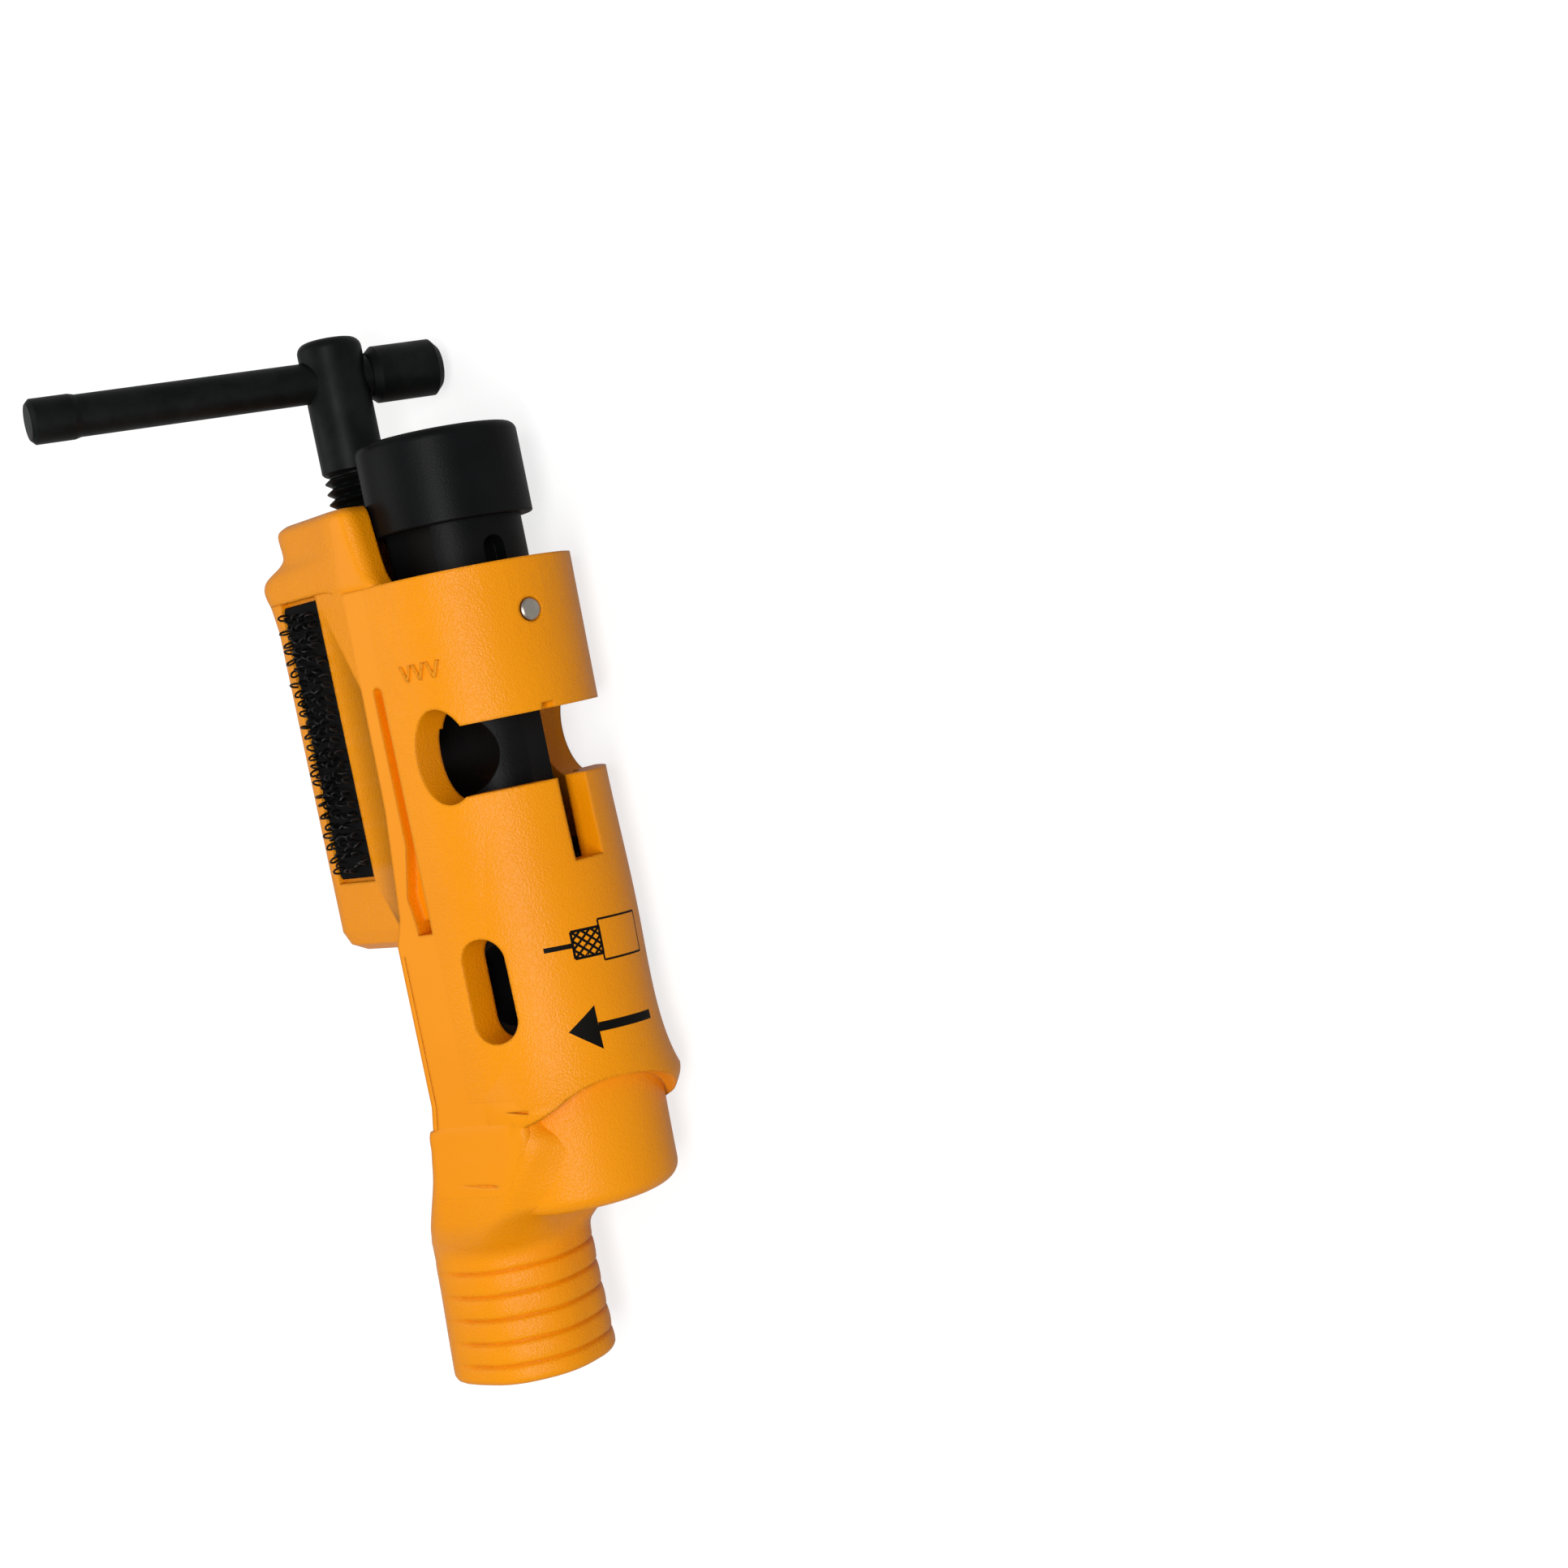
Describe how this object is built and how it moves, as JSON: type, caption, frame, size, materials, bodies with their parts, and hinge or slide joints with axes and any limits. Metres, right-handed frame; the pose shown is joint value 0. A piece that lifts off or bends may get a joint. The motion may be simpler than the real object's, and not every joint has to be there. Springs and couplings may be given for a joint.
{
  "type": "coaxial cable stripper",
  "caption": "Hand stripper for coaxial cable: spring-loaded cutter plunger in a barrel beside a screw press with a sliding bar, a hook tape and a ribbed socket grip.",
  "frame": {"origin": "on the flat back that the tool lies on, midway between the barrel's axis and the press screw's axis, level with the stripping slot", "axes": "+Y along the tool from the ribbed grip to the push cap, +X from the press screw to the barrel, +Z out of the visible flat side"},
  "size_m": [0.0368, 0.1013, 0.037],
  "materials": {
    "yellow_plastic": "moulded orange-yellow plastic, leather grain on barrel, box and grip, smooth flat side",
    "black_plastic": "moulded black plastic, satin",
    "tape": "black plastic hook tape",
    "black_steel": "blackened steel",
    "steel": "bare steel",
    "spring_steel": "drawn spring wire",
    "brass": "turned brass insert"
  },
  "bodies": {
    "body": {"housing": "yellow_plastic", "hook_tape": "tape", "guide_pin": "steel", "thread_insert": "brass", "connector_seat": "steel", "return_spring": "spring_steel"},
    "cutter": {"push_cap": "black_plastic", "plunger": "black_plastic", "blade_holder": "black_plastic", "jacket_blade": "steel", "braid_blade": "steel", "conductor_blade": "steel", "holder_screws": "steel", "cut_blade": "steel", "cut_blade_screw": "steel", "spring_seat": "steel"},
    "press": {"press_pad": "steel"},
    "screw": {"spindle": "black_steel", "pad_ring": "steel"},
    "bar": {"tommy_bar": "black_steel"}
  },
  "joints": [
    {"name": "plunger_slide", "type": "slide", "parent": "body", "child": "cutter", "axis": [0, 1, 0], "range_m": [-0.0044, 0], "stiffness_N_per_m": 150, "springref_m": 0.004, "deforming": ["return_spring"]},
    {"name": "pad_slide", "type": "slide", "parent": "body", "child": "press", "axis": [0, 1, 0], "range_m": [-0.0042, 0.0065]},
    {"name": "spindle_spin", "type": "hinge", "parent": "press", "child": "screw", "pos_m": [-0.0055, 0.055, 0.0105], "axis": [0, 1, 0], "range_deg": [-1530, 2370]},
    {"name": "bar_slide", "type": "slide", "parent": "screw", "child": "bar", "axis": [0.4695, 0, -0.8829], "range_m": [0, 0.0213]}
  ],
  "couplings": [
    {"joint": "spindle_spin", "follows": "pad_slide", "rad_per_m": 6283.2}
  ]
}
